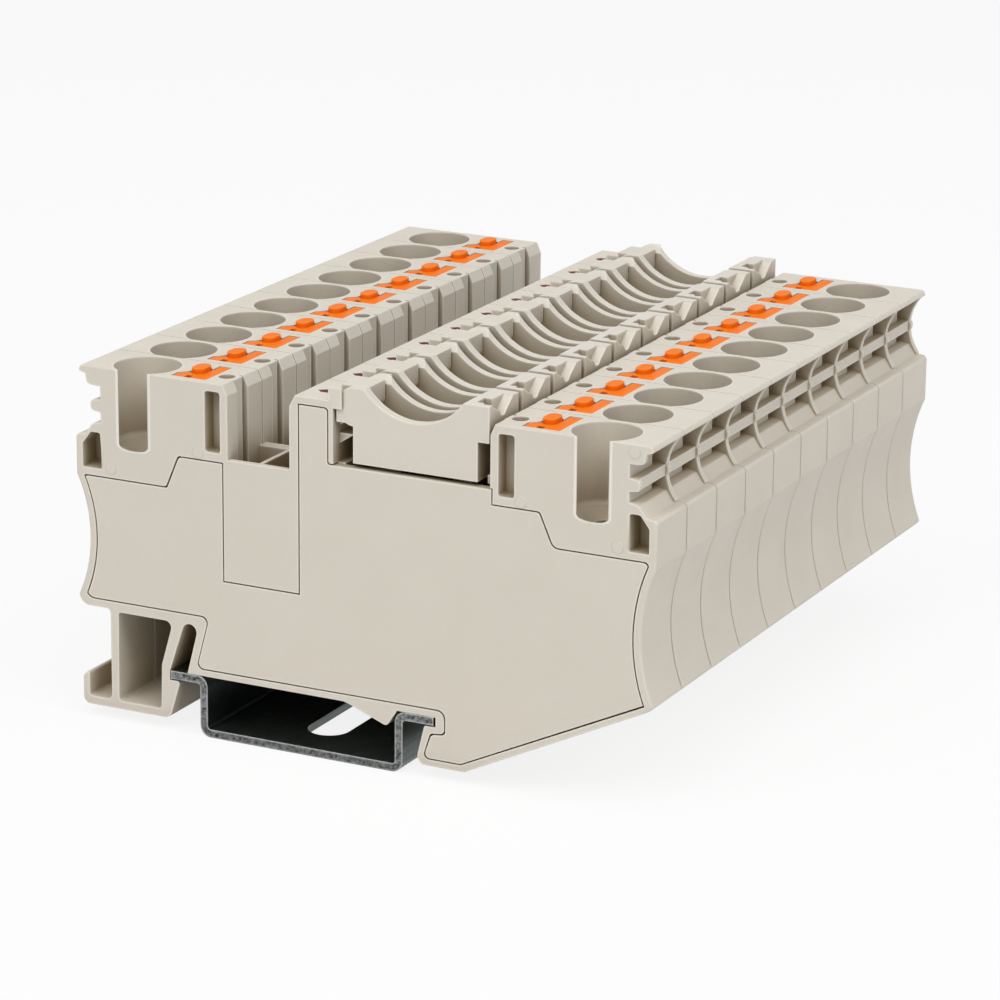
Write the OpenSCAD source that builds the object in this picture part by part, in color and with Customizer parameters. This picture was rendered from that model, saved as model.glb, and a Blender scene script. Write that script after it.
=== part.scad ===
// Bank of push-in fuse terminal blocks, latched side by side on a short top-hat rail.
// X runs along a block, Y along the rail, Z up. The origin is under the middle of the blocks, level with
// the rail's underside. A block is drawn with z = 0 at the rail's top face and y = 0 at its near face.

/* [Bank] */
// Number of blocks on the rail
block_count = 10; // [2:1:10]
// Distance from one block to the next
pitch = 8.2; // [8.1:0.1:9.5]
// Gap between neighbouring blocks
block_gap = 0.15; // [0.05:0.05:0.2]

/* [Rail] */
// Place of the rail's middle under a block
rail_x = -7.5; // [-8.5:0.1:-6.5]
// Width over the rail's flanges
rail_w = 35; // [34:0.5:36]
// Height of the rail
rail_h = 7.5; // [7:0.5:15]
// Sheet thickness of the rail
rail_t = 1; // [0.8:0.1:1.2]
// Width of the rail's channel, outside
rail_channel_w = 27; // [25:0.5:28]
// Outer radius of the rail's bends
rail_bend_r = 1.4; // [1.3:0.1:1.8]
// Length of a mounting slot in the rail
rail_slot_l = 18; // [12:0.5:20]
// Width of a mounting slot in the rail
rail_slot_w = 5.2; // [4:0.1:6.4]
// Spacing of the mounting slots
rail_slot_pitch = 25; // [22:1:27]
// Place of the middle slot along the rail
rail_slot_y = -2.5; // [-4:0.5:4]

/* [Housing] */
// Half the space between a block's two towers
tower_in = 17; // [16.8:0.1:18]
// Length of a tower along the block
tower_l = 20.65; // [20.5:0.05:23]
// Height of the towers above the rail
tower_h = 35.9; // [35:0.1:40]
// Depth of the marker grooves in the towers' ends
groove_d = 3.5; // [2.8:0.1:3.6]
// Place of the post's left face
post_x0 = -8.8; // [-9.5:0.1:-8.4]
// Place of the post's right face
post_x1 = -3.1; // [-3.4:0.1:-2.8]
// Height of the bay's edge above the rail
bay_edge = 26.95; // [26.6:0.05:28]
// Height of the lever bay's floor above the rail
lever_floor = 28.4; // [28:0.1:29]
// Thickness of the far wall of a block
back_wall = 1.1; // [0.8:0.1:1.3]
// Thickness of the webs that close the marker grooves
web_t = 0.7; // [0.5:0.1:1]
// Height of the left underside above the rail
left_base_z = 6.4; // [6.3:0.1:7]
// Height of the right lower corner above the rail
right_base_z = 5.4; // [4.5:0.1:6.5]
// Depth of the feet below the rail's top face
foot_d = 6; // [5.5:0.1:6.4]
// Radius of the wave in the left end wall
wave_left_r = 17.1; // [15:0.1:20]
// Radius of the wave in the right end wall
wave_right_r = 21; // [19:0.1:24]
// Depth of the waves in the end walls
wave_d = 1.7; // [1:0.1:2]

/* [Wire entry] */
// Radius of a wire funnel
funnel_r = 4; // [3.6:0.1:4]
// Radius of the rounded edge of a funnel's floor
funnel_fillet = 0.8; // [0.4:0.1:1.2]
// Distance of a funnel's axis from the tower's inner wall
funnel_in = 12.7; // [12.5:0.1:12.8]
// Distance of the funnel's axis from the near face
funnel_y = 3.5; // [3.2:0.1:3.6]
// Height of the funnel's floor above the rail
funnel_floor = 26.2; // [26:0.1:28]
// Depth of the dished floor of a funnel
funnel_dish = 1; // [0.6:0.1:1.1]
// Radius of the wire hole in a funnel's floor
wire_hole_r = 1.2; // [1:0.1:1.6]
// Distance of a test hole's axis from the tower's inner wall
test_in = 2; // [1.8:0.1:2.1]
// Radius of a test hole
test_r = 1; // [0.7:0.1:1.1]

/* [Pusher] */
// Distance of a pusher's middle from the tower's inner wall
pusher_in = 5.75; // [5.7:0.05:5.9]
// Length of a pusher along the block
pusher_l = 4.5; // [3.8:0.1:4.6]
// Width of a pusher across the block
pusher_w = 6; // [5:0.1:6]
// Height of a pusher's head
pusher_head_h = 5; // [4:0.1:6]
// Length of a pusher's full corner along the block
pusher_arm_l = 1.5; // [1.2:0.1:1.8]
// Width of a pusher's long side across the block
pusher_arm_w = 1.5; // [1.2:0.1:1.8]
// Width of the leg under a pusher's head
pusher_leg_w = 2; // [1.4:0.1:2.2]
// Running clearance round a pusher
pusher_clear = 0.12; // [0.08:0.02:0.2]
// Width of a pusher's knob
knob_w = 1.7; // [1.4:0.1:2]
// Length of a pusher's knob across the block
knob_l = 2.8; // [2.4:0.1:3]
// Height of a pusher's knob
knob_h = 0.6; // [0.5:0.1:1]
// Travel of a pusher
pusher_travel = 2; // [1:0.1:2.2]

/* [Fuse lever] */
// Depth of the lever's pivot below the towers' tops
pivot_drop = 0.5; // [0.4:0.1:0.7]
// Radius of the lever's eye
eye_r = 2.3; // [2.1:0.05:2.4]
// Radius of the lever's axle
axle_r = 0.6; // [0.5:0.05:0.9]
// Clearance round the axle
axle_clear = 0.08; // [0.04:0.02:0.1]
// Thickness of the lever's near wall
lever_wall = 1.2; // [1:0.1:1.3]
// Thickness of the lever's far wall at its ends
lever_far_wall = 1.7; // [1.5:0.1:1.8]
// Depth of the recess in the far wall along the scoop
lever_recess = 0.65; // [0.4:0.05:0.8]
// Setback of the lever from the near and far faces
lever_setback = 0.4; // [0.35:0.05:0.6]
// Gap between the lever and the post
post_gap = 0.25; // [0.2:0.05:0.4]
// Gap between the lever and the right tower
tower_gap = 0.35; // [0.3:0.05:0.5]
// Clearance under the lever
lever_clear = 0.35; // [0.15:0.05:0.4]
// Radius of the finger scoop
scoop_r = 7.9; // [7.5:0.1:9]
// Place of the scoop along the block
scoop_x = 7.05; // [6.8:0.05:7.4]
// Depth of the scoop
scoop_d = 3.2; // [2.8:0.05:3.4]
// Left end of the fuse seat
seat_x0 = 1.6; // [1.4:0.1:1.8]
// Right end of the fuse seat
seat_x1 = 13.4; // [13.2:0.1:13.6]

/* [Cover] */
// Thickness of a side cover
cover_t = 1.2; // [0.9:0.1:1.3]
// Seam round a side cover
seam = 0.16; // [0.08:0.02:0.24]
// Width of the rim that frames a cover
rim = 1.1; // [0.9:0.1:1.4]
// Height of the cover's ends above the rail
cover_end_z = 22.45; // [22:0.05:23]
// Height of the cover beside the bays
cover_step_z = 26.4; // [26:0.1:26.8]
// Height of the bay panel's lower edge
panel_z = 12.05; // [11:0.05:14]

/* [Metal] */
// Thickness of the current bars
bar_t = 0.8; // [0.6:0.1:1]
// Width of the current bars
bar_w = 4.2; // [3.6:0.1:4.6]
// Height of the current bars above the rail
bar_z = 20.2; // [19.5:0.1:20.3]
// Thickness of the clamp springs
spring_t = 0.5; // [0.4:0.05:0.6]
// Outer radius of the clamp springs' loops
spring_loop_r = 1.8; // [1.5:0.1:1.8]
// Thickness of the lever's contact blades
blade_t = 0.8; // [0.6:0.1:1]
// Length of the lever's contact blades along the block
blade_l = 1.6; // [1.2:0.1:2]
// Length of an indicator lamp's wedge along the block
lamp_l = 1.75; // [1.4:0.05:2]
// Width of an indicator lamp's wedge
lamp_w = 1.3; // [1:0.05:1.6]

/* [Hidden] */
$fn = 48;
eps = 0.01;
fit = 0.05;
block_w = pitch - block_gap;
bank_l = block_count * pitch;
half_l = tower_in + tower_l;
flange_l = rail_x - rail_w / 2;
flange_r = rail_x + rail_w / 2;
inner_y = block_w - back_wall;
mid_y = (cover_t + inner_y) / 2;
chamber_z = bar_z - 0.3;
hole_rim = 0.3;
chamber_top = funnel_floor - funnel_dish - hole_rim;
funnel_x = tower_in + funnel_in;
test_x = tower_in + test_in;
pusher_x = tower_in + pusher_in;
pivot_x = post_x1 + post_gap + eye_r;
pivot_z = tower_h - pivot_drop;
lever_top = pivot_z + eye_r;
lever_x0 = pivot_x - eye_r;
lever_x1 = tower_in - tower_gap;
lever_z0 = lever_floor + lever_clear;
lever_y0 = lever_setback;
lever_y1 = block_w - lever_setback;
seat_y0 = lever_y0 + lever_wall;
seat_y1 = lever_y1 - lever_far_wall;
notch_l = post_x1 + 2.4;
notch_r = tower_in - 1.8;
notch_z = lever_floor + 5;
lamp_x = post_x0 + 2.9;
lamp_h = 4;
lamp_z = tower_h - 0.2;
blade_inset = 0.4;
blade_x = [seat_x0 + blade_inset, seat_x1 - blade_inset - blade_l];
spring_top = bar_z + bar_t + 2 * spring_loop_r;

// Names of the numbered nodes
function two(k) = str(k < 10 ? "0" : "", k);
function row(name) = [for (k = [1:block_count]) str(name, "_", two(k))];

// Colours
beige = [0.84, 0.81, 0.76];
orange = [1.0, 0.5, 0.12];
steel = [0.62, 0.64, 0.64];
copper = [0.78, 0.76, 0.7];
lamp_red = [0.45, 0.05, 0.05];

// Extrudes an X-Z outline from y0 to y1, and a Y-Z outline from x0 to x1
module slab(y0, y1) translate([0, y1, 0]) rotate([90, 0, 0]) linear_extrude(y1 - y0) children();
module beam(x0, x1) translate([x0, 0, 0]) rotate([90, 0, 90]) linear_extrude(x1 - x0) children();

// Puts a part in block k of the bank
module in_block(k) translate([0, (k - 1) * pitch - bank_l / 2 + block_gap / 2, rail_h]) children();

// Puts a shape of the right tower on one tower or on both
module on_tower(side) mirror([side < 0 ? 1 : 0, 0, 0]) children();
module on_towers() for (side = [-1, 1]) on_tower(side) children();

// A box from its lower and upper corners
module box(a, b) translate(a) cube(b - a);

// Outline whose corners may carry a radius as a third value
function unit(v) = v / norm(v);
function flat(p) = [p.x, p.y];
function corner_arc(a, b, c, r, steps) =
    let (u = unit(a - b), w = unit(c - b), half = acos(u * w) / 2, centre = b + unit(u + w) * r / sin(half),
         p0 = b + u * r / tan(half) - centre, p1 = b + w * r / tan(half) - centre,
         a0 = atan2(p0.y, p0.x), turn = atan2(p0.x * p1.y - p0.y * p1.x, p0 * p1))
    [for (i = [0:steps]) centre + r * [cos(a0 + turn * i / steps), sin(a0 + turn * i / steps)]];
function rounded(pts, steps = 4) = let (n = len(pts)) [for (i = [0:n - 1])
    each len(pts[i]) > 2
        ? corner_arc(flat(pts[(i + n - 1) % n]), flat(pts[i]), flat(pts[(i + 1) % n]), pts[i][2], steps)
        : [pts[i]]];
module outline(pts) polygon(rounded(pts));

// Outline of straight edges, its corners in anticlockwise order, moved out by d
function outward(a, b) = let (u = unit(b - a)) [u.y, -u.x];
function grown(pts, d) = let (n = len(pts)) [for (i = [0:n - 1])
    let (n0 = outward(pts[(i + n - 1) % n], pts[i]), n1 = outward(pts[i], pts[(i + 1) % n]))
    pts[i] + d * (n0 + n1) / (1 + n0 * n1)];

// Rail

module quarter_bend(r, t) intersection() {
    difference() {
        circle(r);
        circle(r - t);
    }
    square(r);
}

module rail_profile() {
    bend_in = rail_bend_r - rail_t;
    half_c = rail_channel_w / 2;
    translate([-half_c + rail_bend_r, 0]) square([rail_channel_w - 2 * rail_bend_r, rail_t]);
    for (side = [0, 1]) mirror([side, 0]) {
        translate([half_c - rail_bend_r, rail_bend_r]) mirror([0, 1]) quarter_bend(rail_bend_r, rail_t);
        translate([half_c - rail_t, rail_bend_r]) square([rail_t, rail_h - 2 * rail_bend_r]);
        translate([half_c + bend_in, rail_h - rail_bend_r]) mirror([1, 0]) quarter_bend(rail_bend_r, rail_t);
        translate([half_c + bend_in, rail_h - rail_t]) square([rail_w / 2 - half_c - bend_in, rail_t]);
    }
}

module rail_slot() {
    reach = (rail_slot_l - rail_slot_w) / 2;
    for (s = [-1, 1]) translate([0, s * reach, -eps]) cylinder(r = rail_slot_w / 2, h = rail_t + 2 * eps);
    translate([-rail_slot_w / 2, -reach, -eps]) cube([rail_slot_w, 2 * reach, rail_t + 2 * eps]);
}

module din_rail() color(steel) translate([rail_x, 0, 0]) difference() {
    slab(-bank_l / 2, bank_l / 2) rail_profile();
    for (k = [-1:1]) translate([0, rail_slot_y + k * rail_slot_pitch, 0]) rail_slot();
}

// Housing outlines

// Upper and lower edge of each marker groove, below the tower's top
marker_grooves = [[2.3, 3.9], [5.5, 6.7]];

// Right tower with the marker grooves cut into its outer end
module tower_outline() {
    groove_x = half_l - groove_d;
    upper = marker_grooves[0];
    lower = marker_grooves[1];
    outline([
        [tower_in, cover_end_z - 1], [tower_in, tower_h],
        [half_l - 0.9, tower_h, 0.3], [half_l - 0.5, tower_h - 0.7, 0.25],
        [half_l - 1.5, tower_h - 0.95, 0.2], [half_l - 1.7, tower_h - upper[0] + 0.2, 0.4],
        [half_l - 2.5, tower_h - upper[0], 0.2], [groove_x, tower_h - upper[0]],
        [groove_x, tower_h - upper[1]], [half_l - 2.1, tower_h - upper[1] - 0.2, 0.5],
        [half_l - 2.2, tower_h - lower[0] + 0.2, 0.4], [groove_x, tower_h - lower[0]],
        [groove_x, tower_h - lower[1]], [half_l - 2.3, tower_h - lower[1] - 0.3, 0.4],
        [half_l - 1.4, tower_h - 8.3, 0.6],
        [half_l, tower_h - 8.5, 0.5], [half_l, cover_end_z - 1]]);
}

// Curved web that closes the marker grooves towards the next block
module web_outline() {
    web_r = 5.6;
    web_reach = 2.4;
    root_x = half_l - groove_d - 0.5;
    difference() {
        polygon([[root_x, tower_h - 0.4], [half_l - 0.8, tower_h - 0.4], [half_l - 1.2, tower_h - 8.3],
            [root_x, tower_h - 8.3]]);
        translate([half_l - web_reach + web_r, tower_h - 4.6]) circle(web_r);
    }
}

// Base with the spring foot and its release hook on the left, the fixed claw on the right of the rail
module base_outline() {
    claw = rail_t + 0.2;
    lobe_x = rail_x + rail_channel_w / 2 - rail_t + 0.25;
    hook_x = flange_l - 12.3;
    foot_x = flange_l - 8.25;
    outline([
        [-half_l, cover_end_z], [-half_l, left_base_z, 1.3], [foot_x, left_base_z, 0.6],
        [foot_x, 1 - foot_d, 0.7], [hook_x + 0.95, 1 - foot_d, 0.4], [hook_x + 0.95, -1.6, 0.3],
        [hook_x, -2.6, 0.4], [hook_x, -foot_d, 0.8],
        [flange_l - 0.2, -foot_d, 0.9], [flange_l + 1.25, -claw, 0.35], [flange_l - 0.15, -claw],
        [flange_l - 0.15, 0], [lobe_x - 6.85, 0, 3], [lobe_x - 1.35, -2.1, 0.5], [lobe_x, 0],
        [flange_r + 0.25, 0], [flange_r + 0.25, -claw], [flange_r - 1.2, -claw, 0.3],
        [flange_r - 2.35, -foot_d, 1], [flange_r + 4, -foot_d, 0.8],
        [half_l - 0.1, right_base_z, 1], [half_l, cover_end_z]]);
}

// Slit behind the spring foot, which lets it give when the block snaps on
module foot_slit() {
    slit_r = 0.95;
    top = [flange_l + 2.6, left_base_z - 1.2];
    translate(top) circle(slit_r);
    polygon([top + [-slit_r, 0.2], top + [slit_r, -0.2], [flange_l + 2.25, -0.05], [flange_l - 0.15, -0.05]]);
}

// Hollow of the spring foot
module foot_hollow() outline([
    [flange_l - 7.15, left_base_z - 0.3, 0.3], [flange_l + 0.35, left_base_z - 0.3, 0.8],
    [flange_l - 1.25, 0.5, 1], [flange_l - 1.4, 1 - foot_d, 0.4], [flange_l - 7.25, 1 - foot_d, 0.4]]);

// Waves of the two end walls, deepened by d
module end_waves(d) {
    translate([wave_d - half_l - wave_left_r, 15.1]) circle(wave_left_r + d);
    translate([half_l - wave_d + wave_right_r, 13.6]) circle(wave_right_r + d);
}

module housing_outline() difference() {
    union() {
        base_outline();
        on_towers() tower_outline();
        polygon([[-tower_in - eps, cover_end_z - 1], [-tower_in - eps, bay_edge], [post_x0, bay_edge],
            [post_x0, tower_h - 1.4], [post_x0 + 0.75, tower_h], [post_x1, tower_h], [post_x1, lever_floor],
            [tower_in + eps, lever_floor], [tower_in + eps, cover_end_z - 1]]);
    }
    end_waves(0);
    foot_hollow();
    foot_slit();
}

// Cover outline, grown by g all round
module cover_outline(g) {
    panel_x = -tower_in - 0.75;
    end_x = half_l - rim + g;
    post_l = post_x0 + 1.3;
    post_r = post_x1 - 0.75;
    claw_x = flange_r + 1.5;
    difference() {
        outline([
            [-end_x, cover_end_z + g, 0.5], [panel_x - 7.45 - g, cover_end_z + g, 0.4],
            [panel_x - 5.8 - g, cover_step_z + g, 0.5],
            [panel_x + g, cover_step_z + g], [panel_x + g, panel_z + g], [post_l - g, panel_z + g],
            [post_l - g, tower_h - 1.05 + g], [post_r + g, tower_h - 1.05 + g, 0.5],
            [post_r + g, lever_floor - 0.15 + g, 0.3], [tower_in + 0.15 + g, lever_floor - 0.15 + g],
            [tower_in + 0.15 + g, cover_step_z + g], [tower_in + 6.1 + g, cover_step_z + g, 0.5],
            [tower_in + 7.85 + g, cover_end_z + g, 1], [end_x, cover_end_z + g, 0.5],
            [end_x, right_base_z + 0.5 - g], [flange_r + 3.5, 0.9 - foot_d - g, 1],
            [flange_r - 1.3 - g, 0.9 - foot_d - g, 0.6], [flange_r - 0.3 - g, -2.2 + g, 0.5],
            [claw_x - g, -2 + g, 0.5], [claw_x - g, 1 - g, 1], [flange_l + 3.6 - g, 0.9 - g, 0.7],
            [flange_l + 5.35 - g, left_base_z + 1.05 - g, 0.8], [-end_x, left_base_z + 1.05 - g, 1.2]]);
        end_waves(rim - g);
    }
}

// Housing cuts

// Plan of a pusher from its left near corner: a full near end, a long right side and a slanted left side
pusher_plan = [[0, 0], [pusher_l, 0], [pusher_l, pusher_w], [pusher_l - pusher_arm_l, pusher_w],
    [pusher_l - pusher_arm_l, pusher_w - 1.7], [0, pusher_arm_w]];
knob_at = [pusher_l - 2.5, pusher_w - 2.6];

// Puts a pusher or its shaft in a tower: both towers have it the same way round
module at_pusher(side) translate([side * pusher_x - pusher_l / 2, mid_y - pusher_w / 2, 0]) children();

// Plan of a pusher's knob, with round ends, and of its head round the knob, both grown by clear
module knob_shape(clear) translate(knob_at) {
    reach = (knob_l - knob_w) / 2;
    for (s = [-1, 1]) translate([0, s * reach]) circle(knob_w / 2 + clear);
    translate([-knob_w / 2 - clear, -reach]) square([knob_w + 2 * clear, 2 * reach]);
}
module pusher_shape(clear) {
    polygon(grown(pusher_plan, clear));
    knob_shape(clear);
}

// Wire funnel with a rounded and dished floor, open to the near face where the wall cuts it
module funnel() translate([funnel_x, funnel_y, funnel_floor]) rotate_extrude() {
    floor_r = funnel_r - funnel_fillet;
    translate([0, funnel_fillet]) square([funnel_r, tower_h]);
    square([floor_r, tower_h]);
    translate([floor_r, funnel_fillet]) intersection() {
        circle(funnel_fillet);
        translate([0, -funnel_fillet]) square(funnel_fillet + eps);
    }
    polygon([[0, eps], [floor_r, eps], [wire_hole_r, -funnel_dish], [0, -funnel_dish]]);
}

// Cuts of a tower: funnel, wire hole, test hole, side slot, latch pocket, marker pockets, clamp chamber
module tower_cuts() {
    latch_x = half_l - 0.95;
    latch_z = cover_end_z + 1.05;
    slot_z0 = cover_step_z + 1.2;
    slot_z1 = tower_h - 1;
    slot_r = 0.35;
    funnel();
    translate([funnel_x, funnel_y, chamber_top - 1])
        cylinder(r = wire_hole_r, h = hole_rim + funnel_dish + 1);
    translate([test_x, funnel_y, bar_z + bar_t]) cylinder(r = test_r, h = tower_h);
    slab(-1, 2) outline([[test_x - 1, slot_z0, slot_r], [test_x + 1, slot_z0, slot_r],
        [test_x + 1, slot_z1, slot_r], [test_x - 1, slot_z1, slot_r]]);
    slab(-1, 3) outline([[latch_x - 2.45, latch_z, 0.2], [latch_x, latch_z, 0.2],
        [latch_x, latch_z + 2.9, 0.3], [latch_x - 1.15, latch_z + 4.4, 0.4],
        [latch_x - 2.45, latch_z + 4.4, 0.3]]);
    for (groove = marker_grooves) marker_pocket(tower_h - groove[1], tower_h - groove[0]);
    box([test_x + 0.6, cover_t, chamber_z], [funnel_x + 3, inner_y, chamber_top]);
}

// Pocket in the back of a marker groove, beside the web
module marker_pocket(z0, z1) {
    pocket_w = 1.4;
    pocket_d = 0.8;
    back_x = half_l - groove_d;
    box([back_x - pocket_d, block_w - web_t - pocket_w, z0], [back_x + eps, block_w - web_t, z1]);
}

// Groove of a tower's inner wall with a slot along its far side, and the chamfered edges beside it
module inner_wall_cuts(z0) {
    groove_y = [2.4, 4.8];
    groove_t = 0.5;
    slot_w = 0.4;
    slot_d = 1;
    edge_w = 0.6;
    edge_h = 1.3;
    for (y = [[-1, groove_y[0]], [groove_y[1], block_w + 1]]) slab(y[0], y[1])
        polygon([[tower_in - eps, tower_h - edge_h], [tower_in + edge_w, tower_h + eps],
            [tower_in - eps, tower_h + eps]]);
    box([tower_in - 1, groove_y[0], z0], [tower_in + groove_t, groove_y[1], tower_h + 1]);
    box([tower_in - 1, groove_y[1] - slot_w, z0], [tower_in + slot_d, groove_y[1], tower_h + 1]);
}

// Shafts for plug-in bridges in the bay and the channel of the current bars
module middle_cuts() {
    bay_x = (post_x0 - tower_in) / 2;
    bay_rib = 0.5;
    bay_wall = 0.7;
    bar_room = 0.2;
    for (x = [[-tower_in, bay_x - bay_rib / 2], [bay_x + bay_rib / 2, post_x0]])
        box([x[0], bay_wall, bar_z + bar_t], [x[1], block_w - bay_wall, bay_edge + 1]);
    box([post_x1 + 1, cover_t, chamber_z], [tower_in - 0.4, inner_y, lever_floor + 1]);
    box([-funnel_x, mid_y - bar_w / 2 - bar_room, bar_z - bar_room],
        [funnel_x, mid_y + bar_w / 2 + bar_room, bar_z + bar_t + bar_room]);
}

// Wedge of an indicator lamp in the top of the post, grown by clear
module lamp_wedge(clear, z1) {
    tip = [-lamp_l * 4 / 7, 0];
    back = tip.x + lamp_l;
    plan = [tip, [tip.x + lamp_l * 0.4, -lamp_w / 2], [back, -lamp_w / 2], [back, lamp_w / 2],
        [tip.x + lamp_l * 0.4, lamp_w / 2]];
    translate([lamp_x, funnel_y, lamp_z - lamp_h]) linear_extrude(z1 - lamp_z + lamp_h)
        polygon(grown(plan, clear));
}

// Tongue of the post that fills the space between the lever's eyes and carries its axle
module lever_tongue() difference() {
    tongue_clear = 0.15;
    tongue_wall = 0.4;
    tongue_r = axle_r + axle_clear + tongue_wall;
    tongue_top = lever_top - 0.2;
    root_x = post_x1 + 0.2;
    tip_x = pivot_x + tongue_r;
    slab(seat_y0 + tongue_clear, seat_y1 - tongue_clear) {
        translate([pivot_x, pivot_z]) circle(tongue_r);
        polygon([[post_x1 - 1, pivot_z - 3.4], [post_x1 - 1, tower_h], [root_x, tower_h],
            [root_x, tongue_top], [tip_x, tongue_top], [tip_x, pivot_z], [pivot_x, pivot_z - tongue_r]]);
    }
    lever_axle(axle_r + axle_clear);
}

// Tooth of the post under the lever's eye and step of the tower under its free end
module lever_stops() {
    tooth_z = notch_z - 1.6;
    step_l = 1.1;
    slab(seat_y0, inner_y)
        polygon([[post_x1 - eps, tooth_z - 1.3], [notch_l - 0.5, tooth_z], [post_x1 - eps, tooth_z]]);
    box([tower_in - step_l, seat_y0, lever_floor - eps], [tower_in + eps, inner_y, lever_floor + 1]);
}

// Ear of the post that laps the lever's eye
module lever_ear()
    box([post_x1 - 0.6, 0, tower_h - 0.9], [post_x1 + 1.1, lever_setback - 0.15, lever_top - 0.2]);

module housing(k) color(beige) in_block(k) {
    difference() {
        union() {
            slab(0, block_w) housing_outline();
            slab(block_w - web_t, block_w) on_towers() web_outline();
        }
        slab(-1, cover_t) cover_outline(seam);
        on_towers() tower_cuts();
        on_tower(-1) inner_wall_cuts(bar_z + bar_t);
        on_tower(1) inner_wall_cuts(lever_floor);
        for (side = [-1, 1]) at_pusher(side) translate([0, 0, chamber_top - 1])
            linear_extrude(tower_h) pusher_shape(pusher_clear);
        middle_cuts();
        lamp_wedge(fit, tower_h + 1);
    }
    lever_tongue();
    lever_stops();
    lever_ear();
}

// Side cover, set flush into the near face
module side_cover(k) color(beige) in_block(k) slab(0, cover_t) cover_outline(0);
module side_cover_end() side_cover(1);
module side_covers_inner() for (k = [2:block_count]) side_cover(k);

// Fuse lever: two scooped walls with an empty seat for a flat plug-in fuse between them

module lever_wall_outline() difference() {
    union() {
        translate([pivot_x, pivot_z]) circle(eye_r);
        polygon([[lever_x0, pivot_z], [lever_x0, notch_z], [notch_l, notch_z], [notch_l, lever_z0],
            [notch_r, lever_z0], [notch_r, notch_z], [lever_x1, notch_z], [lever_x1, lever_top],
            [pivot_x, lever_top], [pivot_x, pivot_z]]);
    }
    translate([scoop_x, lever_top - scoop_d + scoop_r]) circle(scoop_r);
}

module lever_axle(r) translate([pivot_x, block_w / 2, pivot_z]) rotate([90, 0, 0])
    cylinder(r = r, h = block_w - 2 * lever_setback, center = true);

// Side walls and finger grip of the lever: the far wall is chamfered at the eye and recessed along the scoop,
// the grip has a pocket behind the near wall and a ramp across its end
module lever_sides() {
    recess_l = 13.2;
    edge_w = 1;
    edge_h = 0.75;
    pocket_x = seat_x1 + 1;
    pocket_w = 2;
    ramp_x = lever_x1 - 1.25;
    difference() {
        union() {
            slab(lever_y0, seat_y0) lever_wall_outline();
            slab(seat_y1, lever_y1) lever_wall_outline();
            box([seat_x1, lever_y0, notch_z], [lever_x1, lever_y1, lever_top]);
        }
        box([scoop_x - recess_l / 2, lever_y1 - lever_recess, lever_z0 + 3],
            [scoop_x + recess_l / 2, lever_y1 + 1, lever_top + 1]);
        beam(lever_x0 - 1, scoop_x) polygon([[seat_y1 - eps, lever_top - edge_h],
            [seat_y1 + edge_w, lever_top + eps], [seat_y1 - eps, lever_top + eps]]);
        box([pocket_x, seat_y0, tower_h - 2], [lever_x1 - 0.75, seat_y0 + pocket_w, lever_top + 1]);
        translate([0, seat_y0, lever_top]) beam(ramp_x, lever_x1 + 1)
            polygon([[-0.5, 1], [-0.5, -0.15], [0.5, -0.7], [1.3, -0.95], [1.8, -1.7], [2.6, -1.7],
                [3.1, -1.2], [4.7, -0.05], [4.7, 1]]);
    }
}

module fuse_lever(k) color(beige) in_block(k) {
    floor_t = 1.2;
    lever_sides();
    lever_axle(axle_r);
    difference() {
        box([notch_l, lever_y0, lever_z0], [notch_r, lever_y1, lever_z0 + floor_t]);
        for (x = blade_x) lever_blade(x, fit, lever_top);
    }
    box([notch_l, lever_y0, lever_z0], [seat_x0 - 0.3, lever_y1, pivot_z - eye_r - 0.6]);
    box([seat_x1, lever_y0, lever_z0], [notch_r, lever_y1, notch_z + eps]);
}

// Contact blades in the lever's floor, which take the fuse and dip into the forks of the bars
module lever_blade(x, clear, top) box([x - clear, mid_y - blade_t / 2 - clear, bar_z + 5.2],
    [x + blade_l + clear, mid_y + blade_t / 2 + clear, top]);
module lever_contacts(k) color(copper) in_block(k) for (x = blade_x) lever_blade(x, 0, lever_floor + 4);

// Pusher: a head in the tower's shaft with a low knob and a driver notch, and a leg over the clamp spring
module pusher(k, side) color(orange) in_block(k) at_pusher(side) {
    top = tower_h - 0.1;
    leg_z = spring_top + pusher_travel + 0.3;
    leg_l = 2.5;
    leg_y = knob_at.y - 0.2;
    notch_at = [1.4, -eps, top - 1.2];
    notch_size = [0.9, 1.3, 2];
    difference() {
        translate([0, 0, top - pusher_head_h]) linear_extrude(pusher_head_h) pusher_shape(0);
        translate(notch_at) cube(notch_size);
    }
    translate([pusher_l - leg_l, leg_y - pusher_leg_w / 2, leg_z])
        cube([leg_l, pusher_leg_w, top - pusher_head_h - leg_z + eps]);
    translate([0, 0, top - eps]) linear_extrude(knob_h + eps) knob_shape(0);
}
module pusher_left(k) pusher(k, -1);
module pusher_right(k) pusher(k, 1);

// Current bar from the clamp to the fork under the lever
module current_bar(side, blade_at) {
    fork_l = blade_l + 1.2;
    leaf_t = 0.6;
    leaf_gap = blade_t + 0.4;
    fork_x = blade_at + blade_l / 2 - fork_l / 2;
    fork_top = lever_floor - 0.6;
    y0 = mid_y - bar_w / 2;
    upright = side * (funnel_x + 2.6);
    far = fork_x + (side < 0 ? fork_l : 0);
    box([min(upright, far), y0, bar_z], [max(upright, far), y0 + bar_w, bar_z + bar_t]);
    box([upright - (side > 0 ? bar_t : 0), y0, bar_z],
        [upright + (side < 0 ? bar_t : 0), y0 + bar_w, chamber_top - 0.2]);
    for (s = [-1, 1]) translate([fork_x, mid_y + s * (leaf_gap + leaf_t) / 2 - leaf_t / 2, bar_z])
        cube([fork_l, leaf_t, fork_top - bar_z]);
}
module current_bars(side, blade_at) color(copper)
    for (k = [1:block_count]) in_block(k) current_bar(side, blade_at);
module current_bars_left() current_bars(-1, blade_x[0]);
module current_bars_right() current_bars(1, blade_x[1]);

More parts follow.
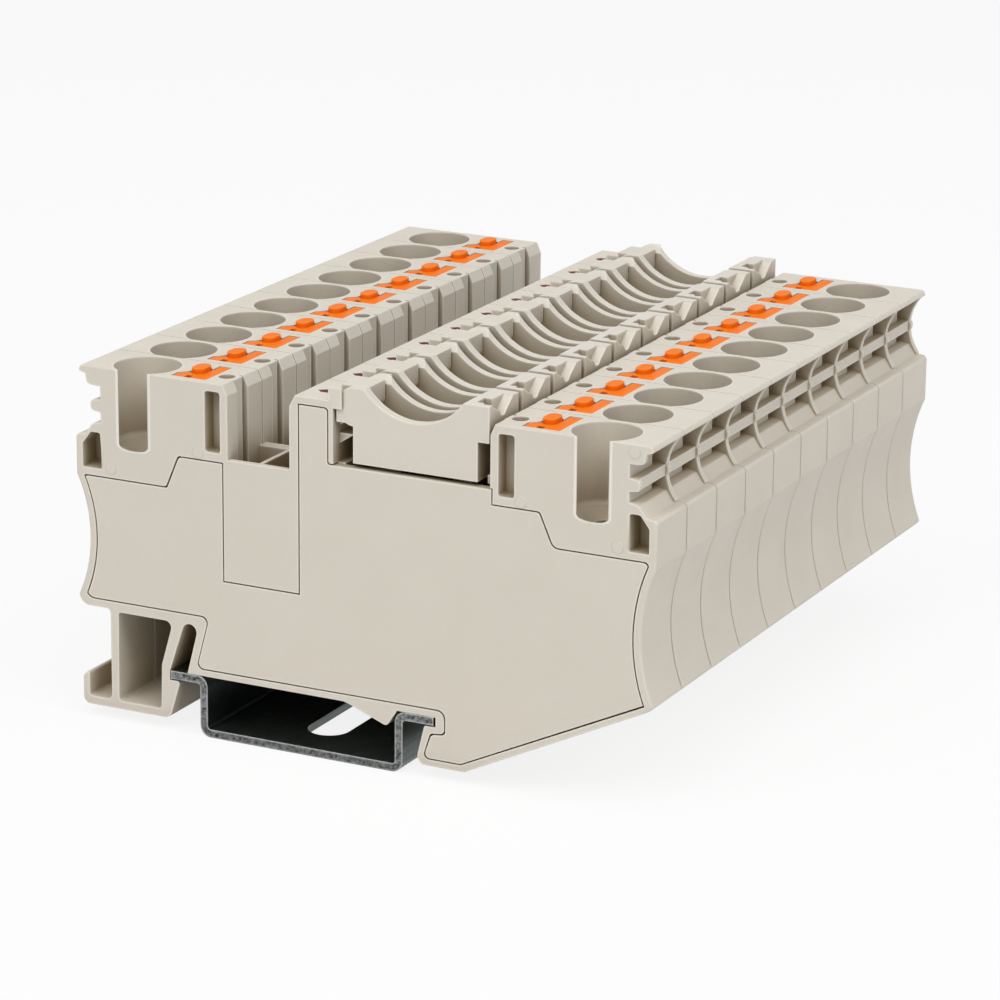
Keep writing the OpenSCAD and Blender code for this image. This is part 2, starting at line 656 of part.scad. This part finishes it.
// Clamp spring: a leaf that lies on the bar, loops back and presses the wire to the upright
module clamp_spring() {
    spring_w = bar_w - 0.6;
    loop_x = test_x + 3;
    loop_z = bar_z + bar_t + spring_loop_r;
    leg_l = 4.4;
    slab(mid_y - spring_w / 2, mid_y + spring_w / 2) {
        difference() {
            translate([loop_x, loop_z]) circle(spring_loop_r);
            translate([loop_x, loop_z]) circle(spring_loop_r - spring_t);
            translate([loop_x, loop_z - spring_loop_r]) square(2 * spring_loop_r);
        }
        translate([loop_x - eps, loop_z - spring_loop_r]) square([leg_l, spring_t]);
        translate([loop_x - spring_t, loop_z + spring_loop_r - spring_t]) rotate(-14)
            square([leg_l + 2, spring_t]);
    }
}
module clamp_springs() color(copper) for (k = [1:block_count]) in_block(k) on_towers() clamp_spring();

module indicator_lamps() color(lamp_red) for (k = [1:block_count]) in_block(k) lamp_wedge(0, lamp_z);

din_rail();
for (k = [1:block_count]) {
    housing(k);
    fuse_lever(k);
    lever_contacts(k);
    pusher_left(k);
    pusher_right(k);
}
side_cover_end();
side_covers_inner();
current_bars_left();
current_bars_right();
clamp_springs();
indicator_lamps();
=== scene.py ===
"""Looks for a bank of fuse terminal blocks on a short slotted rail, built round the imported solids."""

import math

import bmesh
import bpy
from mathutils import Matrix, Vector


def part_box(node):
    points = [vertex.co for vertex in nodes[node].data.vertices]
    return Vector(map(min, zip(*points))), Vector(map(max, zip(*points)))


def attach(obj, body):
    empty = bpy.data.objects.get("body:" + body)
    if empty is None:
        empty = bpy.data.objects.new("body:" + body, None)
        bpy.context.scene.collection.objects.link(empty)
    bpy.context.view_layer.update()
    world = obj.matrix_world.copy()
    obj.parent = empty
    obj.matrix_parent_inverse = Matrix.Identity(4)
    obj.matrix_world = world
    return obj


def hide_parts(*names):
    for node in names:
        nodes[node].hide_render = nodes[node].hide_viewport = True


MM = 0.001
BLOCKS = 10
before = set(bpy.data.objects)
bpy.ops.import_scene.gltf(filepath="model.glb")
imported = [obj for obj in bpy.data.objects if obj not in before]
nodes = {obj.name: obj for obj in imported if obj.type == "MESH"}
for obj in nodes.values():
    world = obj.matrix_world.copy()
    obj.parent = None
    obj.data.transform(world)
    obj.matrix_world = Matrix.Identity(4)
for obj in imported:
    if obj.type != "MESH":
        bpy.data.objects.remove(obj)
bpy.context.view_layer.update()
scene = bpy.context.scene
scene.view_settings.view_transform = "Standard"


# Shader groups shared by the finishes, with the noise scales of their patterns

CLOUD_SCALE = 140.0
SPECK_SCALE = 5200.0
PATCH_SCALE = 260.0
GRAIN_SCALE = 3400.0
ROLLED_SCALE = 5200.0
ROLLED_STRETCH = 0.02
PLATING_SCALE = 420.0
SAWN_SCALE = 1900.0
SHADE_SAMPLES = 4


def new_group(name, inputs, outputs):
    """An empty node group with named inputs, their plain values and named outputs."""
    group = bpy.data.node_groups.new(name, "ShaderNodeTree")
    for label, kind, value in inputs:
        socket = group.interface.new_socket(label, in_out="INPUT", socket_type=kind)
        socket.default_value = value
    for label, kind in outputs:
        group.interface.new_socket(label, in_out="OUTPUT", socket_type=kind)
    return group, group.nodes.new("NodeGroupInput"), group.nodes.new("NodeGroupOutput")


def place(tree, kind, **values):
    """A new node with its own settings."""
    node = tree.nodes.new(kind)
    for label, value in values.items():
        setattr(node, label, value)
    return node


def feed(tree, source, socket):
    """Links a socket to another node's output, or gives it a plain value."""
    if hasattr(source, "is_output"):
        tree.links.new(source, socket)
    else:
        socket.default_value = source


def noise(tree, vector, scale, detail, roughness=0.5):
    node = place(tree, "ShaderNodeTexNoise")
    node.inputs["Detail"].default_value = detail
    node.inputs["Roughness"].default_value = roughness
    feed(tree, vector, node.inputs["Vector"])
    feed(tree, scale, node.inputs["Scale"])
    return node.outputs["Fac"]


def remap(tree, value, low, high, start=0.3, stop=0.7):
    """Takes a value from the range start to stop to the range low to high."""
    node = place(tree, "ShaderNodeMapRange")
    node.inputs["From Min"].default_value = start
    node.inputs["From Max"].default_value = stop
    feed(tree, low, node.inputs["To Min"])
    feed(tree, high, node.inputs["To Max"])
    feed(tree, value, node.inputs["Value"])
    return node.outputs["Result"]


def mix_colour(tree, factor, first, second):
    node = place(tree, "ShaderNodeMix", data_type="RGBA")
    feed(tree, factor, node.inputs[0])
    feed(tree, first, node.inputs[6])
    feed(tree, second, node.inputs[7])
    return node.outputs[2]


def moulded_tint_group():
    """Cloudy shading and fine specks of a filled moulding compound."""
    group, start, end = new_group(
        "moulded tint",
        [("Vector", "NodeSocketVector", (0, 0, 0)), ("Colour", "NodeSocketColor", (1, 1, 1, 1)),
         ("Shade", "NodeSocketColor", (0.5, 0.5, 0.5, 1)), ("Depth", "NodeSocketFloat", 0.1)],
        [("Colour", "NodeSocketColor")])
    cloud = noise(group, start.outputs["Vector"], CLOUD_SCALE, detail=3.0)
    speck = noise(group, start.outputs["Vector"], SPECK_SCALE, detail=1.0)
    colour = start.outputs["Colour"]
    for pattern in (cloud, speck):
        share = remap(group, pattern, 0.0, start.outputs["Depth"])
        colour = mix_colour(group, share, colour, start.outputs["Shade"])
    group.links.new(colour, end.inputs["Colour"])
    return group


def moulded_grain_group():
    """Spark-eroded grain of a moulded face: a height for the bump and an uneven roughness."""
    group, start, end = new_group(
        "moulded grain",
        [("Vector", "NodeSocketVector", (0, 0, 0)), ("Scale", "NodeSocketFloat", GRAIN_SCALE),
         ("Smooth", "NodeSocketFloat", 0.4), ("Rough", "NodeSocketFloat", 0.6)],
        [("Height", "NodeSocketFloat"), ("Roughness", "NodeSocketFloat")])
    grain = noise(group, start.outputs["Vector"], start.outputs["Scale"], detail=2.0, roughness=0.6)
    patch = noise(group, start.outputs["Vector"], PATCH_SCALE, detail=2.0)
    gloss = remap(group, patch, start.outputs["Smooth"], start.outputs["Rough"])
    group.links.new(grain, end.inputs["Height"])
    group.links.new(gloss, end.inputs["Roughness"])
    return group


def painted_shade_highlight_group():
    """Painted shade: a warm dark tone in deep hollows and a brown one in seams and inner corners; and a
    painted highlight: a light line along outer edges.
    """
    group, start, end = new_group(
        "painted shade and highlight",
        [("Colour", "NodeSocketColor", (1, 1, 1, 1)), ("Hollow", "NodeSocketColor", (0.5, 0.5, 0.5, 1)),
         ("Seam", "NodeSocketColor", (0.3, 0.3, 0.3, 1)), ("Edge", "NodeSocketColor", (1, 1, 1, 1))],
        [("Colour", "NodeSocketColor")])

    def paint_light_by_closeness(colour, label, inside, reach, share, closed, opened):
        """Mixes in a painted tone (shade in hollows and seams, highlight on outer edges), most of it where
        the nearby solid closes a point in and none where it is open.
        """
        shut = place(group, "ShaderNodeAmbientOcclusion", samples=SHADE_SAMPLES)
        shut.inside = inside
        shut.only_local = inside
        shut.inputs["Distance"].default_value = reach
        part = remap(group, shut.outputs["AO"], share, 0.0, closed, opened)
        return mix_colour(group, part, colour, start.outputs[label])

    colour = start.outputs["Colour"]
    # Painted shade in deep hollows, painted highlight along outer edges, painted shade in seams and inner
    # corners.
    colour = paint_light_by_closeness(colour, "Hollow", inside=False, reach=8.0 * MM, share=0.92, closed=0.08, opened=0.66)
    colour = paint_light_by_closeness(colour, "Edge", inside=True, reach=0.26 * MM, share=0.75, closed=0.5, opened=0.95)
    colour = paint_light_by_closeness(colour, "Seam", inside=False, reach=0.7 * MM, share=0.8, closed=0.05, opened=0.6)
    group.links.new(colour, end.inputs["Colour"])
    return group


def rolled_metal_group():
    """Fine lines along the rolling direction of a sheet, with cloudy plating."""
    group, start, end = new_group(
        "rolled metal",
        [("Vector", "NodeSocketVector", (0, 0, 0)), ("Colour", "NodeSocketColor", (1, 1, 1, 1)),
         ("Shade", "NodeSocketColor", (0.5, 0.5, 0.5, 1)), ("Smooth", "NodeSocketFloat", 0.25),
         ("Rough", "NodeSocketFloat", 0.45)],
        [("Colour", "NodeSocketColor"), ("Roughness", "NodeSocketFloat"), ("Height", "NodeSocketFloat")])
    stretch = place(group, "ShaderNodeMapping")
    stretch.inputs["Scale"].default_value = (1.0, ROLLED_STRETCH, 1.0)
    group.links.new(start.outputs["Vector"], stretch.inputs["Vector"])
    lines = noise(group, stretch.outputs["Vector"], ROLLED_SCALE, detail=2.0)
    cloud = noise(group, start.outputs["Vector"], PLATING_SCALE, detail=3.0)
    colour = mix_colour(group, cloud, start.outputs["Colour"], start.outputs["Shade"])
    gloss = remap(group, lines, start.outputs["Smooth"], start.outputs["Rough"])
    group.links.new(colour, end.inputs["Colour"])
    group.links.new(gloss, end.inputs["Roughness"])
    group.links.new(lines, end.inputs["Height"])
    return group


tint_group = moulded_tint_group()
grain_group = moulded_grain_group()
painted_light_group = painted_shade_highlight_group()
metal_group = rolled_metal_group()


# Finishes

TINT_DEPTH = 0.35
PLASTIC_IOR = 1.5
PLASTIC_GRAIN = 0.02 * MM
PLASTIC_EDGE = 0.15 * MM
METAL_GRAIN = 0.01 * MM
METAL_EDGE = 0.12 * MM
GRAIN_STRENGTH = 0.35
SAWN_SKIN = 0.05 * MM


def new_material(name):
    """A material with a plain shader, and the Object coordinates that its patterns read."""
    material = bpy.data.materials.new(name)
    material.use_nodes = True
    tree = material.node_tree
    tree.nodes.clear()
    shader = place(tree, "ShaderNodeBsdfPrincipled")
    output = place(tree, "ShaderNodeOutputMaterial")
    tree.links.new(shader.outputs["BSDF"], output.inputs["Surface"])
    vector = place(tree, "ShaderNodeTexCoord").outputs["Object"]
    return material, tree, shader, vector


def use_group(tree, group, vector=None, **values):
    """A shared group placed in a material, with the material's own values."""
    node = place(tree, "ShaderNodeGroup", node_tree=group)
    if vector is not None:
        tree.links.new(vector, node.inputs["Vector"])
    for label, value in values.items():
        node.inputs[label].default_value = value
    return node


def soft_edges(tree, shader, height, depth, radius):
    """Rounds sharp edges in the shading and lays the fine grain over them."""
    edge = place(tree, "ShaderNodeBevel", samples=SHADE_SAMPLES)
    edge.inputs["Radius"].default_value = radius
    bump = place(tree, "ShaderNodeBump")
    bump.inputs["Strength"].default_value = GRAIN_STRENGTH
    bump.inputs["Distance"].default_value = depth
    tree.links.new(edge.outputs["Normal"], bump.inputs["Normal"])
    tree.links.new(height, bump.inputs["Height"])
    tree.links.new(bump.outputs["Normal"], shader.inputs["Normal"])


def moulded_plastic(name, colour, shade, hollow_shade, seam, edge, smooth, rough, gloss=0.4):
    """Moulded plastic with cloudy colour, fine grain, painted shade in hollows and seams, and painted
    highlights on edges.
    """
    material, tree, shader, vector = new_material(name)
    tint = use_group(tree, tint_group, vector, Colour=colour, Shade=shade, Depth=TINT_DEPTH)
    grain = use_group(tree, grain_group, vector, Scale=GRAIN_SCALE, Smooth=smooth, Rough=rough)
    # The hollow and seam colours are painted shade, the edge colour is a painted highlight.
    tone = use_group(tree, painted_light_group, Hollow=hollow_shade, Seam=seam, Edge=edge)
    tree.links.new(tint.outputs["Colour"], tone.inputs["Colour"])
    tree.links.new(tone.outputs["Colour"], shader.inputs["Base Color"])
    tree.links.new(grain.outputs["Roughness"], shader.inputs["Roughness"])
    soft_edges(tree, shader, grain.outputs["Height"], PLASTIC_GRAIN, PLASTIC_EDGE)
    shader.inputs["IOR"].default_value = PLASTIC_IOR
    shader.inputs["Specular IOR Level"].default_value = gloss
    return material


def new_sheet_metal(name, colour, shade, smooth, rough):
    """A metal material with rolled lines, whose Base Color is still free, and the plating's colour."""
    material, tree, shader, vector = new_material(name)
    sheet = use_group(tree, metal_group, vector, Colour=colour, Shade=shade, Smooth=smooth, Rough=rough)
    tree.links.new(sheet.outputs["Roughness"], shader.inputs["Roughness"])
    soft_edges(tree, shader, sheet.outputs["Height"], METAL_GRAIN, METAL_EDGE)
    shader.inputs["Metallic"].default_value = 1.0
    return material, tree, shader, vector, sheet.outputs["Colour"]


def sheet_metal(name, colour, shade, smooth, rough):
    """Rolled sheet metal with the same plating all over."""
    material, tree, shader, _, plating = new_sheet_metal(name, colour, shade, smooth, rough)
    tree.links.new(plating, shader.inputs["Base Color"])
    return material


def rail_plating(name, colour, shade, smooth, rough, cut, cut_shade, burr_and_highlight):
    """Dark plated strip whose sawn ends are bare and grainy, with painted shade in their hollows and seams
    and a light burred line along their edges that is partly painted highlight.
    """
    material, tree, shader, vector, plating = new_sheet_metal(name, colour, shade, smooth, rough)
    grain = noise(tree, vector, SAWN_SCALE, detail=3.0, roughness=0.65)
    sawn = mix_colour(tree, remap(tree, grain, 0.0, 1.0, 0.35, 0.65), cut, cut_shade)
    # Painted shade in the sawn ends' hollows and seams, and a bright line along their edges that is burr and
    # painted highlight.
    rim = use_group(tree, painted_light_group, Hollow=cut_shade, Seam=cut_shade, Edge=burr_and_highlight)
    tree.links.new(sawn, rim.inputs["Colour"])
    along = place(tree, "ShaderNodeSeparateXYZ")
    reach = place(tree, "ShaderNodeMath", operation="ABSOLUTE")
    at_end = place(tree, "ShaderNodeMath", operation="GREATER_THAN")
    at_end.inputs[1].default_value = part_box("din_rail")[1].y - SAWN_SKIN
    tree.links.new(vector, along.inputs[0])
    tree.links.new(along.outputs["Y"], reach.inputs[0])
    tree.links.new(reach.outputs[0], at_end.inputs[0])
    surface = mix_colour(tree, at_end.outputs[0], plating, rim.outputs["Colour"])
    tree.links.new(surface, shader.inputs["Base Color"])
    return material


# In each plastic finish below, the hollow and seam colours are painted shade and the edge colour is a
# painted highlight.
housing_tones = {
    "colour": (0.66, 0.61, 0.53, 1),
    "shade": (0.61, 0.56, 0.48, 1),
    "hollow_shade": (0.24, 0.16, 0.055, 1),
    "seam": (0.3, 0.23, 0.15, 1),
}
housing_finish = moulded_plastic(
    "housing plastic", **housing_tones, edge=(0.86, 0.82, 0.74, 1), smooth=0.42, rough=0.58)
mark_finish = moulded_plastic(
    "ejector mark", **housing_tones, edge=(0.65, 0.6, 0.52, 1), smooth=0.36, rough=0.5)
lever_finish = moulded_plastic(
    "lever plastic", colour=(0.67, 0.625, 0.55, 1), shade=(0.62, 0.575, 0.5, 1),
    hollow_shade=(0.25, 0.17, 0.065, 1), seam=(0.31, 0.24, 0.16, 1), edge=(0.87, 0.83, 0.75, 1), smooth=0.4,
    rough=0.55)
pusher_finish = moulded_plastic(
    "orange plastic", colour=(0.9, 0.2, 0.005, 1), shade=(0.8, 0.15, 0.004, 1),
    hollow_shade=(0.6, 0.06, 0.002, 1), seam=(0.42, 0.03, 0.002, 1), edge=(1.0, 0.36, 0.03, 1), smooth=0.44,
    rough=0.56, gloss=0.12)
lamp_finish = moulded_plastic(
    "dark red lamp", colour=(0.085, 0.004, 0.005, 1), shade=(0.05, 0.003, 0.004, 1),
    hollow_shade=(0.05, 0.003, 0.003, 1), seam=(0.03, 0.002, 0.002, 1), edge=(0.16, 0.01, 0.01, 1), smooth=0.4,
    rough=0.5, gloss=0.05)
rail_finish = rail_plating(
    "plated rail", colour=(0.14, 0.17, 0.155, 1), shade=(0.07, 0.088, 0.08, 1), smooth=0.3, rough=0.5,
    cut=(0.3, 0.31, 0.31, 1), cut_shade=(0.03, 0.034, 0.034, 1), burr_and_highlight=(0.62, 0.62, 0.6, 1))
contact_finish = sheet_metal(
    "tinned contact", colour=(0.72, 0.68, 0.6, 1), shade=(0.6, 0.55, 0.46, 1), smooth=0.22, rough=0.4)
spring_finish = sheet_metal(
    "spring strip", colour=(0.6, 0.6, 0.58, 1), shade=(0.45, 0.45, 0.43, 1), smooth=0.2, rough=0.35)

finishes = {
    "housing": housing_finish,
    "side_cover": housing_finish,
    "fuse_lever": lever_finish,
    "pusher": pusher_finish,
    "indicator_lamps": lamp_finish,
    "din_rail": rail_finish,
    "lever_contacts": contact_finish,
    "current_bars": contact_finish,
    "clamp_springs": spring_finish,
}
for name, solid in nodes.items():
    finish = next(finishes[start] for start in finishes if name.startswith(start))
    solid.data.materials.clear()
    solid.data.materials.append(finish)


# Steps that the new pieces share


def mesh_of(label, shape):
    """The mesh of a finished bmesh, which is then freed."""
    mesh = bpy.data.meshes.new(label)
    shape.to_mesh(mesh)
    shape.free()
    return mesh


def soften(shape, edges, width, segments):
    """Rounds the given edges."""
    bmesh.ops.bevel(shape, geom=edges, offset=width, segments=segments, profile=0.5, affect="EDGES",
                    material=-1)


def raise_plan(shape, height, rim_width, rim_segments):
    """Raises the flat faces of a bmesh to closed pads and rounds the rims of their tops."""
    grown = bmesh.ops.extrude_face_region(shape, geom=shape.faces[:])
    raised = [part for part in grown["geom"] if isinstance(part, bmesh.types.BMVert)]
    bmesh.ops.translate(shape, verts=raised, vec=(0, 0, height))
    rim = [edge for edge in shape.edges if all(vert in raised for vert in edge.verts)]
    soften(shape, rim, rim_width, rim_segments)
    bmesh.ops.recalc_face_normals(shape, faces=shape.faces[:])


def fixed_piece(label, mesh, finish):
    """Shows a mesh as a piece that stays with the housings and the rail."""
    mesh.materials.clear()
    mesh.materials.append(finish)
    piece = bpy.data.objects.new(label, mesh)
    scene.collection.objects.link(piece)
    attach(piece, "root")
    return piece


# Housings with thin lips over the marker grooves and curved webs that stand in front of the ribs

TOWER_TOP = 43.4 * MM
WEB = 0.7 * MM
END_WALL = 0.6 * MM
SPARE = 0.1 * MM
HAIR = 0.02 * MM
WALL_TOP = 35.2 * MM
WAVE_DEPTH = 4.0 * MM
JOINT_ROUND = 0.25 * MM
SAME_PLANE = 0.001 * MM
SAME_POINT = 0.0001 * MM
FLAT = math.radians(0.2)
SHARP = math.radians(20)
STEEP = 0.5
STEP_UNDER_LIP = {"reach": (0.0, 3.5), "drop": (1.0, 2.5)}
NOSE_OF_RIB = {"reach": (0.0, 2.5), "drop": (3.8, 5.6)}


def groove_cutter(name, near_y):
    """Boxes that open both marker grooves of a block between its near wall and its web."""
    low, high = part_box(name)
    far_y = high.y - WEB + HAIR
    shape = bmesh.new()
    for side, tip in ((-1, low.x), (1, high.x)):
        for cut in (STEP_UNDER_LIP, NOSE_OF_RIB):
            xs = sorted(tip - side * reach * MM for reach in cut["reach"])
            zs = sorted(TOWER_TOP - drop * MM for drop in cut["drop"])
            corner = Vector((xs[0], near_y, zs[0]))
            opposite = Vector((xs[1], far_y, zs[1]))
            stretch = Matrix.Diagonal((*(opposite - corner), 1.0))
            middle = Matrix.Translation((corner + opposite) / 2)
            bmesh.ops.create_cube(shape, size=1.0, matrix=middle @ stretch)
    return bpy.data.objects.new("groove_cutter", mesh_of("groove_cutter", shape))


def merged_copy(name):
    """A bmesh of a solid's surface, with its loose triangles joined and its flat faces made whole."""
    shape = bmesh.new()
    shape.from_mesh(nodes[name].data)
    bmesh.ops.remove_doubles(shape, verts=shape.verts[:], dist=SAME_POINT)
    bmesh.ops.dissolve_limit(shape, angle_limit=FLAT, verts=shape.verts[:], edges=shape.edges[:])
    return shape


def edges_at(shape, level):
    """The sharp edges that lie in the plane Y = level, each with the face beside that plane's own face."""
    for edge in shape.edges:
        if len(edge.link_faces) == 2 and all(abs(vert.co.y - level) < SAME_PLANE for vert in edge.verts):
            beside = [face for face in edge.link_faces if abs(face.normal.y) < STEEP]
            if len(beside) == 1:
                yield edge, beside[0]


def joint_edges(shape, low, high):
    """The edges of both waved end walls that meet the neighbouring blocks."""
    found = []
    for level in (low.y, high.y):
        for edge, wall in edges_at(shape, level):
            ends = [vert.co for vert in edge.verts]
            on_wave = all(abs(end.x) > high.x - WAVE_DEPTH and end.z < WALL_TOP for end in ends)
            faces_out = wall.normal.x * ends[0].x > 0
            if on_wave and faces_out and abs(wall.normal.x) > STEEP:
                found.append(edge)
    return found


def cut_away(mesh, cutter):
    """The mesh that is left when the cutter's boxes are taken out."""
    blank = bpy.data.objects.new("blank", mesh)
    cut = blank.modifiers.new("cut away", "BOOLEAN")
    cut.operation = "DIFFERENCE"
    cut.solver = "EXACT"
    cut.object = cutter
    for helper in (blank, cutter):
        scene.collection.objects.link(helper)
    depsgraph = bpy.context.evaluated_depsgraph_get()
    rest = bpy.data.meshes.new_from_object(blank.evaluated_get(depsgraph))
    for helper in (blank, cutter):
        bpy.data.objects.remove(helper)
    return rest


def housing_shell(index):
    """A housing with open marker grooves and with soft edges where its end walls meet the next block."""
    name = f"housing_{index:02d}"
    label = f"housing_shell_{index:02d}"
    low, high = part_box(name)
    shape = merged_copy(name)
    soften(shape, joint_edges(shape, low, high), JOINT_ROUND, segments=2)
    uncut = mesh_of(label, shape)
    if "custom_normal" in uncut.attributes:
        uncut.attributes.remove(uncut.attributes["custom_normal"])
    cut_from = low.y + END_WALL - HAIR if index == 1 else low.y - SPARE
    mesh = cut_away(uncut, groove_cutter(name, cut_from))
    mesh.shade_smooth()
    mesh.set_sharp_from_angle(angle=SHARP)
    piece = fixed_piece(label, mesh, housing_finish)
    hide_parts(name)


# Ejector marks on the near face of the first block, each at its x and z in millimetres

MARKS = ((-32.85, 31.3), (-21.0, 34.8), (20.8, 34.8), (32.85, 31.3), (34.7, 42.5))
MARK_RADIUS = 0.75 * MM
MARK_SUNK = 0.05 * MM
MARK_PROUD = 0.03 * MM
MARK_RIM = 0.03 * MM


def ejector_mark(index, x, z):
    """A flat disc with a soft rim, let a little into the wall."""
    near_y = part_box("housing_01")[0].y
    shape = bmesh.new()
    bmesh.ops.create_circle(shape, cap_ends=True, segments=32, radius=MARK_RADIUS)
    raise_plan(shape, MARK_SUNK + MARK_PROUD, MARK_RIM, rim_segments=2)
    seat = Matrix.Translation((x * MM, near_y + MARK_SUNK, z * MM))
    turn = Matrix.Rotation(math.radians(90), 4, "X")
    bmesh.ops.transform(shape, matrix=seat @ turn, verts=shape.verts[:])
    label = f"ejector_mark_{index}"
    fixed_piece(label, mesh_of(label, shape), mark_finish)


# Lenses that bring the lamps up to the tops of the posts

LENS_WIDTH = 1.3 * MM
LENS_RISE = 0.17 * MM
LENS_SUNK = 0.05 * MM
LENS_RIM = 0.1 * MM
LENS_TIP_SHARE = 0.4


def lamp_lenses():
    """One wedge with a rounded rim on each lamp, as long and wide as the lamp under it."""
    low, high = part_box("indicator_lamps")
    half = LENS_WIDTH / 2
    length = high.x - low.x
    shoulder = LENS_TIP_SHARE * length
    pitch = (high.y - low.y - LENS_WIDTH) / (BLOCKS - 1)
    plan = ((0, 0), (shoulder, -half), (length, -half), (length, half), (shoulder, half))
    shape = bmesh.new()
    for index in range(BLOCKS):
        middle = low.y + half + index * pitch
        corners = [shape.verts.new((low.x + x, middle + y, high.z - LENS_SUNK)) for x, y in plan]
        shape.faces.new(corners)
    raise_plan(shape, LENS_SUNK + LENS_RISE, LENS_RIM, rim_segments=3)
    fixed_piece("lamp_lenses", mesh_of("lamp_lenses", shape), lamp_finish)


# Floor, light and camera

WHITE = (1, 1, 1, 1)
FLOOR_REACH = 3.0
FLOOR_PAINT = (0.82, 0.82, 0.82, 1)
FLOOR_GLOW = 0.86
SURROUND_LIGHT = 0.4
AIM = Vector((0, 0, 0.03))


def background_rays(tree):
    """1 where the camera, a reflection or a see-through piece meets the background, otherwise 0."""
    path = place(tree, "ShaderNodeLightPath")
    total = path.outputs["Is Camera Ray"]
    for label in ("Is Glossy Ray", "Is Transmission Ray"):
        added = place(tree, "ShaderNodeMath", operation="ADD", use_clamp=True)
        tree.links.new(total, added.inputs[0])
        tree.links.new(path.outputs[label], added.inputs[1])
        total = added.outputs[0]
    return total


def mix_by(tree, factor, lighting, seen, output):
    """Shows one shader to the rays that the factor names and the other to the rest."""
    mixer = place(tree, "ShaderNodeMixShader")
    tree.links.new(factor, mixer.inputs[0])
    tree.links.new(lighting.outputs[0], mixer.inputs[1])
    tree.links.new(seen.outputs[0], mixer.inputs[2])
    tree.links.new(mixer.outputs[0], output.inputs["Surface"])


def studio_floor():
    """A pale floor that looks nearly white and still takes the object's shadow."""
    shape = bmesh.new()
    bmesh.ops.create_grid(shape, x_segments=1, y_segments=1, size=FLOOR_REACH)
    mesh = mesh_of("floor", shape)
    floor = bpy.data.objects.new("floor", mesh)
    scene.collection.objects.link(floor)
    material = bpy.data.materials.new("white floor")
    material.use_nodes = True
    tree = material.node_tree
    tree.nodes.clear()
    paint = place(tree, "ShaderNodeBsdfDiffuse")
    paint.inputs["Color"].default_value = FLOOR_PAINT
    glow = place(tree, "ShaderNodeEmission")
    share = place(tree, "ShaderNodeMath", operation="MULTIPLY")
    share.inputs[1].default_value = FLOOR_GLOW
    tree.links.new(background_rays(tree), share.inputs[0])
    mix_by(tree, share.outputs[0], paint, glow, place(tree, "ShaderNodeOutputMaterial"))
    mesh.materials.append(material)


def white_surround():
    """White all round where it is seen, and a weaker white light on the object."""
    world = bpy.data.worlds.new("white surround")
    scene.world = world
    world.use_nodes = True
    tree = world.node_tree
    tree.nodes.clear()
    sky = place(tree, "ShaderNodeBackground")
    sky.inputs["Strength"].default_value = SURROUND_LIGHT
    white = place(tree, "ShaderNodeBackground")
    for surround in (sky, white):
        surround.inputs["Color"].default_value = WHITE
    mix_by(tree, background_rays(tree), sky, white, place(tree, "ShaderNodeOutputWorld"))


def softbox(name, place_at, size, power):
    """A round soft light that is aimed at the middle of the bank."""
    light = bpy.data.lights.new(name, "AREA")
    light.shape = "DISK"
    light.size = size
    light.energy = power
    lamp = bpy.data.objects.new(name, light)
    scene.collection.objects.link(lamp)
    lamp.location = place_at
    lamp.rotation_euler = (AIM - Vector(place_at)).to_track_quat("-Z", "Y").to_euler()


def photo_camera():
    """The photograph's own view: a long lens, to the right of the blocks' near faces and above them."""
    azimuth = math.radians(26.56)
    elevation = math.radians(16.708)
    roll = math.radians(0.54)
    eye = Vector((220.59, -445.69, 170.54)) * MM
    back = Vector((math.sin(azimuth) * math.cos(elevation), -math.cos(azimuth) * math.cos(elevation),
                   math.sin(elevation)))
    level = Vector((math.cos(azimuth), math.sin(azimuth), 0.0))
    above = back.cross(level)
    right = math.cos(roll) * level + math.sin(roll) * above
    up = math.cos(roll) * above - math.sin(roll) * level
    turn = Matrix((right, up, back)).transposed().to_4x4()
    data = bpy.data.cameras.new("photo view")
    data.sensor_width = 36.0
    data.lens = 151.9
    data.clip_start = 0.01
    camera = bpy.data.objects.new("photo view", data)
    scene.collection.objects.link(camera)
    camera.matrix_world = Matrix.Translation(eye) @ turn
    scene.camera = camera


for index in range(1, BLOCKS + 1):
    housing_shell(index)
for index, (x, z) in enumerate(MARKS, 1):
    ejector_mark(index, x, z)
lamp_lenses()
studio_floor()
white_surround()
softbox("overhead box", (0.15, -0.35, 0.95), size=0.9, power=3.75)
softbox("front box", (-0.2, -0.8, 0.75), size=0.6, power=3.15)
softbox("right box", (0.75, -0.25, 0.85), size=0.6, power=3.4)
photo_camera()
